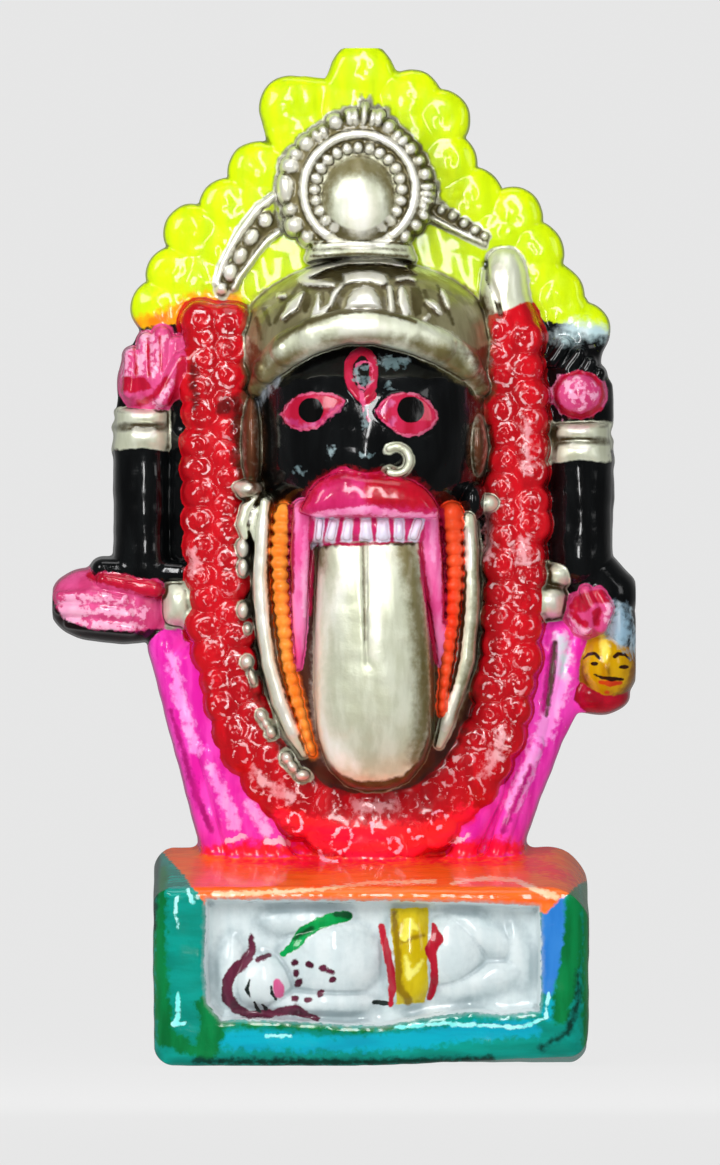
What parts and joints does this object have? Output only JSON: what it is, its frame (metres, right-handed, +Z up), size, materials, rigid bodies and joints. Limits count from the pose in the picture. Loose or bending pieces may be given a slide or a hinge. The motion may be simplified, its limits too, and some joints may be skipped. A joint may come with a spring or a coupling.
{
  "type": "kali figure",
  "caption": "Cast plaster relief figure of the goddess Kali, with domed crown, long tongue, flower halo and rose garland, on a plinth with Shiva in its recessed front.",
  "frame": {"origin": "middle of the plinth's flat underside", "axes": "+Z up, the front faces -Y, +X to the viewer's right, and the flat back faces +Y"},
  "size_m": [0.1459, 0.054, 0.2537],
  "materials": {
    "painted_plaster": "gloss enamel and gold paint on plaster"
  },
  "bodies": {
    "root": {"kali_figure": "painted_plaster"}
  },
  "joints": []
}
